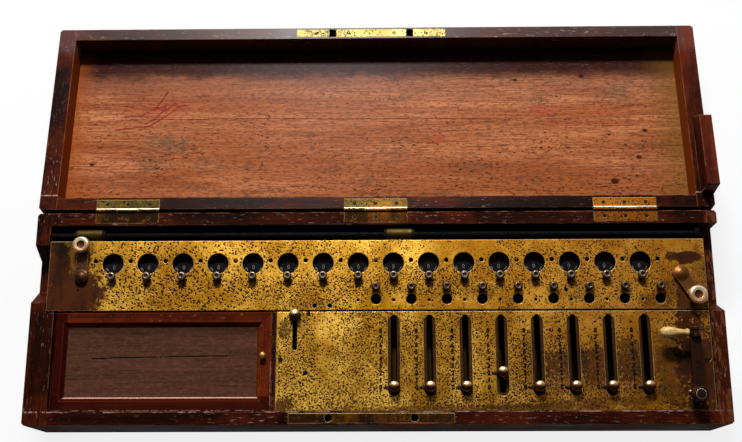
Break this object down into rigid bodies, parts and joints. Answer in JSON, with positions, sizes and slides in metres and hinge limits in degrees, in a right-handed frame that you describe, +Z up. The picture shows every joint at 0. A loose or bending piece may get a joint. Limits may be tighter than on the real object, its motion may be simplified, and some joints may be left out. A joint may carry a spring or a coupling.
{
  "type": "mechanical calculator",
  "caption": "Crank-driven calculating machine in a long wooden case with its lid laid open: setting slides over stepped drums and a hinged sliding carriage of result and counter dials.",
  "frame": {"origin": "centre of the case's underside, without the lid that lies open behind it", "axes": "+X to the user's right along the case, +Y to the back towards the hinges, +Z up"},
  "size_m": [0.58, 0.3621, 0.0836],
  "materials": {
    "dark_mahogany": "dark red-brown polish, worn at the edges",
    "inner_wood": "plain, unpolished",
    "lid_mahogany": "light reddish brown, unpolished inside",
    "red_mahogany": "polished frame round a grey-brown panel",
    "lacquered_brass": "bright, old lacquer",
    "plate_brass": "gilt, with dark pits and stains",
    "frame_brass": "plain, dull",
    "knob_brass": "turned, worn to a pinkish shine on top",
    "dark_bronze": "tarnished brown",
    "steel": "blued and oiled",
    "bone": "yellowed bone or ivory, satin"
  },
  "bodies": {
    "case": {"case_boards": "dark_mahogany", "case_bottom": "inner_wood", "case_brass": "lacquered_brass", "front_plate": "plate_brass", "mechanism_frame": "frame_brass", "carriage_rod": "steel"},
    "lid": {"lid_walls": "dark_mahogany", "lid_board": "lid_mahogany", "lid_brass": "lacquered_brass"},
    "cover": {"compartment_cover": "red_mahogany"},
    "drive": {"drive_shaft": "steel"},
    "crank_arm": {"crank": "dark_bronze"},
    "handle": {"crank_handle": "bone"},
    "lever": {"operation_lever": "bone"},
    "sleeves": {"carriage_sleeves": "frame_brass"},
    "carriage": {"carriage_plate": "plate_brass", "carriage_frame": "frame_brass"},
    "left_zero": {"zero_crank_left": "dark_bronze"},
    "right_zero": {"zero_crank_right": "dark_bronze"},
    "result_dial_1": {"result_dial_1": "knob_brass"},
    "result_dial_2": {"result_dial_2": "knob_brass"},
    "result_dial_3": {"result_dial_3": "knob_brass"},
    "result_dial_4": {"result_dial_4": "knob_brass"},
    "result_dial_5": {"result_dial_5": "knob_brass"},
    "result_dial_6": {"result_dial_6": "knob_brass"},
    "result_dial_7": {"result_dial_7": "knob_brass"},
    "result_dial_8": {"result_dial_8": "knob_brass"},
    "result_dial_9": {"result_dial_9": "knob_brass"},
    "result_dial_10": {"result_dial_10": "knob_brass"},
    "result_dial_11": {"result_dial_11": "knob_brass"},
    "result_dial_12": {"result_dial_12": "knob_brass"},
    "result_dial_13": {"result_dial_13": "knob_brass"},
    "result_dial_14": {"result_dial_14": "knob_brass"},
    "result_dial_15": {"result_dial_15": "knob_brass"},
    "result_dial_16": {"result_dial_16": "knob_brass"},
    "counter_dial_1": {"counter_dial_1": "knob_brass"},
    "counter_dial_2": {"counter_dial_2": "knob_brass"},
    "counter_dial_3": {"counter_dial_3": "knob_brass"},
    "counter_dial_4": {"counter_dial_4": "knob_brass"},
    "counter_dial_5": {"counter_dial_5": "knob_brass"},
    "counter_dial_6": {"counter_dial_6": "knob_brass"},
    "counter_dial_7": {"counter_dial_7": "knob_brass"},
    "counter_dial_8": {"counter_dial_8": "knob_brass"},
    "counter_dial_9": {"counter_dial_9": "knob_brass"},
    "slide_1": {"slide_1": "knob_brass"},
    "slide_2": {"slide_2": "knob_brass"},
    "slide_3": {"slide_3": "knob_brass"},
    "slide_4": {"slide_4": "knob_brass"},
    "slide_5": {"slide_5": "knob_brass"},
    "slide_6": {"slide_6": "knob_brass"},
    "slide_7": {"slide_7": "knob_brass"},
    "slide_8": {"slide_8": "knob_brass"},
    "stepped_drum_1": {"stepped_drum_1": "frame_brass"},
    "stepped_drum_2": {"stepped_drum_2": "frame_brass"},
    "stepped_drum_3": {"stepped_drum_3": "frame_brass"},
    "stepped_drum_4": {"stepped_drum_4": "frame_brass"},
    "stepped_drum_5": {"stepped_drum_5": "frame_brass"},
    "stepped_drum_6": {"stepped_drum_6": "frame_brass"},
    "stepped_drum_7": {"stepped_drum_7": "frame_brass"},
    "stepped_drum_8": {"stepped_drum_8": "frame_brass"}
  },
  "joints": [
    {"name": "lid_hinge", "type": "hinge", "parent": "case", "child": "lid", "pos_m": [0, 0.0917, 0.064], "axis": [-1, 0, 0], "range_deg": [-186.7, 0]},
    {"name": "cover_hinge", "type": "hinge", "parent": "case", "child": "cover", "pos_m": [-0.2645, -0.04, 0.059], "axis": [0, -1, 0], "range_deg": [0, 95]},
    {"name": "carriage_slide", "type": "slide", "parent": "case", "child": "sleeves", "axis": [1, 0, 0], "range_m": [0, 0.2376]},
    {"name": "carriage_lift", "type": "hinge", "parent": "sleeves", "child": "carriage", "pos_m": [0, 0.0718, 0.056], "axis": [-1, 0, 0], "range_deg": [0, 60]},
    {"name": "left_zero_turn", "type": "hinge", "parent": "carriage", "child": "left_zero", "pos_m": [-0.2485, 0.0337, 0.064], "axis": [0, 0, 1], "range_deg": [0, 230]},
    {"name": "right_zero_turn", "type": "hinge", "parent": "carriage", "child": "right_zero", "pos_m": [0.2557, 0.0342, 0.064], "axis": [0, 0, 1], "range_deg": [0, 180]},
    {"name": "result_dial_1_turn", "type": "hinge", "parent": "carriage", "child": "result_dial_1", "pos_m": [-0.22275, 0.0334, 0.064], "axis": [0, 0, 1], "continuous": true},
    {"name": "result_dial_2_turn", "type": "hinge", "parent": "carriage", "child": "result_dial_2", "pos_m": [-0.19305, 0.0334, 0.064], "axis": [0, 0, 1], "continuous": true},
    {"name": "result_dial_3_turn", "type": "hinge", "parent": "carriage", "child": "result_dial_3", "pos_m": [-0.16335, 0.0334, 0.064], "axis": [0, 0, 1], "continuous": true},
    {"name": "result_dial_4_turn", "type": "hinge", "parent": "carriage", "child": "result_dial_4", "pos_m": [-0.13365, 0.0334, 0.064], "axis": [0, 0, 1], "continuous": true},
    {"name": "result_dial_5_turn", "type": "hinge", "parent": "carriage", "child": "result_dial_5", "pos_m": [-0.10395, 0.0334, 0.064], "axis": [0, 0, 1], "continuous": true},
    {"name": "result_dial_6_turn", "type": "hinge", "parent": "carriage", "child": "result_dial_6", "pos_m": [-0.07425, 0.0334, 0.064], "axis": [0, 0, 1], "continuous": true},
    {"name": "result_dial_7_turn", "type": "hinge", "parent": "carriage", "child": "result_dial_7", "pos_m": [-0.04455, 0.0334, 0.064], "axis": [0, 0, 1], "continuous": true},
    {"name": "result_dial_8_turn", "type": "hinge", "parent": "carriage", "child": "result_dial_8", "pos_m": [-0.01485, 0.0334, 0.064], "axis": [0, 0, 1], "continuous": true},
    {"name": "result_dial_9_turn", "type": "hinge", "parent": "carriage", "child": "result_dial_9", "pos_m": [0.01485, 0.0334, 0.064], "axis": [0, 0, 1], "continuous": true},
    {"name": "result_dial_10_turn", "type": "hinge", "parent": "carriage", "child": "result_dial_10", "pos_m": [0.04455, 0.0334, 0.064], "axis": [0, 0, 1], "continuous": true},
    {"name": "result_dial_11_turn", "type": "hinge", "parent": "carriage", "child": "result_dial_11", "pos_m": [0.07425, 0.0334, 0.064], "axis": [0, 0, 1], "continuous": true},
    {"name": "result_dial_12_turn", "type": "hinge", "parent": "carriage", "child": "result_dial_12", "pos_m": [0.10395, 0.0334, 0.064], "axis": [0, 0, 1], "continuous": true},
    {"name": "result_dial_13_turn", "type": "hinge", "parent": "carriage", "child": "result_dial_13", "pos_m": [0.13365, 0.0334, 0.064], "axis": [0, 0, 1], "continuous": true},
    {"name": "result_dial_14_turn", "type": "hinge", "parent": "carriage", "child": "result_dial_14", "pos_m": [0.16335, 0.0334, 0.064], "axis": [0, 0, 1], "continuous": true},
    {"name": "result_dial_15_turn", "type": "hinge", "parent": "carriage", "child": "result_dial_15", "pos_m": [0.19305, 0.0334, 0.064], "axis": [0, 0, 1], "continuous": true},
    {"name": "result_dial_16_turn", "type": "hinge", "parent": "carriage", "child": "result_dial_16", "pos_m": [0.22275, 0.0334, 0.064], "axis": [0, 0, 1], "continuous": true},
    {"name": "counter_dial_1_turn", "type": "hinge", "parent": "carriage", "child": "counter_dial_1", "pos_m": [0, 0.0237, 0.064], "axis": [0, 0, 1], "continuous": true},
    {"name": "counter_dial_2_turn", "type": "hinge", "parent": "carriage", "child": "counter_dial_2", "pos_m": [0.0297, 0.0237, 0.064], "axis": [0, 0, 1], "continuous": true},
    {"name": "counter_dial_3_turn", "type": "hinge", "parent": "carriage", "child": "counter_dial_3", "pos_m": [0.0594, 0.0237, 0.064], "axis": [0, 0, 1], "continuous": true},
    {"name": "counter_dial_4_turn", "type": "hinge", "parent": "carriage", "child": "counter_dial_4", "pos_m": [0.0891, 0.0237, 0.064], "axis": [0, 0, 1], "continuous": true},
    {"name": "counter_dial_5_turn", "type": "hinge", "parent": "carriage", "child": "counter_dial_5", "pos_m": [0.1188, 0.0237, 0.064], "axis": [0, 0, 1], "continuous": true},
    {"name": "counter_dial_6_turn", "type": "hinge", "parent": "carriage", "child": "counter_dial_6", "pos_m": [0.1485, 0.0237, 0.064], "axis": [0, 0, 1], "continuous": true},
    {"name": "counter_dial_7_turn", "type": "hinge", "parent": "carriage", "child": "counter_dial_7", "pos_m": [0.1782, 0.0237, 0.064], "axis": [0, 0, 1], "continuous": true},
    {"name": "counter_dial_8_turn", "type": "hinge", "parent": "carriage", "child": "counter_dial_8", "pos_m": [0.2079, 0.0237, 0.064], "axis": [0, 0, 1], "continuous": true},
    {"name": "counter_dial_9_turn", "type": "hinge", "parent": "carriage", "child": "counter_dial_9", "pos_m": [0.2376, 0.0237, 0.064], "axis": [0, 0, 1], "continuous": true},
    {"name": "slide_1_set", "type": "slide", "parent": "case", "child": "slide_1", "axis": [0, 1, 0], "range_m": [0, 0.05265]},
    {"name": "slide_2_set", "type": "slide", "parent": "case", "child": "slide_2", "axis": [0, 1, 0], "range_m": [0, 0.05265]},
    {"name": "slide_3_set", "type": "slide", "parent": "case", "child": "slide_3", "axis": [0, 1, 0], "range_m": [0, 0.05265]},
    {"name": "slide_4_set", "type": "slide", "parent": "case", "child": "slide_4", "axis": [0, 1, 0], "range_m": [-0.0117, 0.04095]},
    {"name": "slide_5_set", "type": "slide", "parent": "case", "child": "slide_5", "axis": [0, 1, 0], "range_m": [0, 0.05265]},
    {"name": "slide_6_set", "type": "slide", "parent": "case", "child": "slide_6", "axis": [0, 1, 0], "range_m": [0, 0.05265]},
    {"name": "slide_7_set", "type": "slide", "parent": "case", "child": "slide_7", "axis": [0, 1, 0], "range_m": [0, 0.05265]},
    {"name": "slide_8_set", "type": "slide", "parent": "case", "child": "slide_8", "axis": [0, 1, 0], "range_m": [0, 0.05265]},
    {"name": "lever_set", "type": "slide", "parent": "case", "child": "lever", "axis": [0, -1, 0], "range_m": [0, 0.027]},
    {"name": "crank_turn", "type": "hinge", "parent": "case", "child": "crank_arm", "pos_m": [0.2605, -0.0676, 0.064], "axis": [0, 0, 1], "continuous": true},
    {"name": "handle_fold", "type": "hinge", "parent": "crank_arm", "child": "handle", "pos_m": [0.2605, -0.0176, 0.079], "axis": [0, -1, 0], "range_deg": [-180, 0]},
    {"name": "drive_turn", "type": "hinge", "parent": "case", "child": "drive", "pos_m": [0, -0.0676, 0.0215], "axis": [1, 0, 0], "continuous": true},
    {"name": "stepped_drum_1_turn", "type": "hinge", "parent": "case", "child": "stepped_drum_1", "pos_m": [0.01485, 0, 0.0215], "axis": [0, 1, 0], "continuous": true},
    {"name": "stepped_drum_2_turn", "type": "hinge", "parent": "case", "child": "stepped_drum_2", "pos_m": [0.04455, 0, 0.0215], "axis": [0, 1, 0], "continuous": true},
    {"name": "stepped_drum_3_turn", "type": "hinge", "parent": "case", "child": "stepped_drum_3", "pos_m": [0.07425, 0, 0.0215], "axis": [0, 1, 0], "continuous": true},
    {"name": "stepped_drum_4_turn", "type": "hinge", "parent": "case", "child": "stepped_drum_4", "pos_m": [0.10395, 0, 0.0215], "axis": [0, 1, 0], "continuous": true},
    {"name": "stepped_drum_5_turn", "type": "hinge", "parent": "case", "child": "stepped_drum_5", "pos_m": [0.13365, 0, 0.0215], "axis": [0, 1, 0], "continuous": true},
    {"name": "stepped_drum_6_turn", "type": "hinge", "parent": "case", "child": "stepped_drum_6", "pos_m": [0.16335, 0, 0.0215], "axis": [0, 1, 0], "continuous": true},
    {"name": "stepped_drum_7_turn", "type": "hinge", "parent": "case", "child": "stepped_drum_7", "pos_m": [0.19305, 0, 0.0215], "axis": [0, 1, 0], "continuous": true},
    {"name": "stepped_drum_8_turn", "type": "hinge", "parent": "case", "child": "stepped_drum_8", "pos_m": [0.22275, 0, 0.0215], "axis": [0, 1, 0], "continuous": true}
  ],
  "couplings": [
    {"joint": "drive_turn", "follows": "crank_turn", "ratio": 1},
    {"joint": "stepped_drum_1_turn", "follows": "crank_turn", "ratio": 1},
    {"joint": "stepped_drum_2_turn", "follows": "crank_turn", "ratio": 1},
    {"joint": "stepped_drum_3_turn", "follows": "crank_turn", "ratio": 1},
    {"joint": "stepped_drum_4_turn", "follows": "crank_turn", "ratio": 1},
    {"joint": "stepped_drum_5_turn", "follows": "crank_turn", "ratio": 1},
    {"joint": "stepped_drum_6_turn", "follows": "crank_turn", "ratio": 1},
    {"joint": "stepped_drum_7_turn", "follows": "crank_turn", "ratio": 1},
    {"joint": "stepped_drum_8_turn", "follows": "crank_turn", "ratio": 1}
  ]
}
